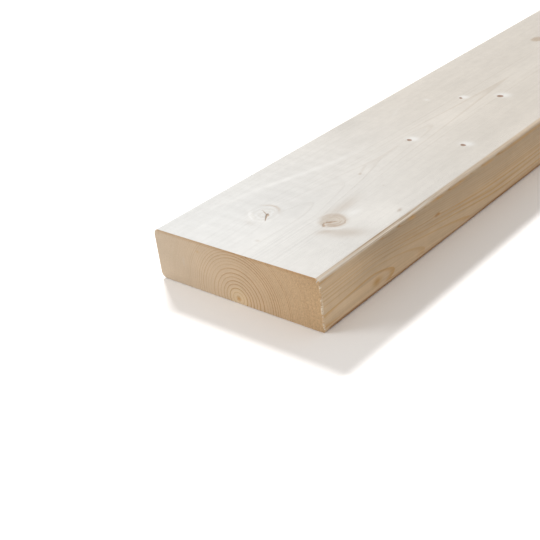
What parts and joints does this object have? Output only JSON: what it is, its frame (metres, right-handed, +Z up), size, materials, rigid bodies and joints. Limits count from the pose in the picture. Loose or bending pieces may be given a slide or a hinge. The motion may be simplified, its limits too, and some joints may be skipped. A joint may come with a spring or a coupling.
{
  "type": "timber plank",
  "caption": "Planed softwood plank of flat rectangular section with rounded long edges and square-sawn ends, used for framing, shelving and general carpentry.",
  "frame": {"origin": "middle of the underside, on the surface that the plank lies on", "axes": "+X along the length, +Y across the width, +Z up through the thickness"},
  "size_m": [1.8, 0.17, 0.045],
  "materials": {
    "spruce": "planed and unfinished, with sawn ends"
  },
  "bodies": {
    "root": {"plank": "spruce"}
  },
  "joints": []
}
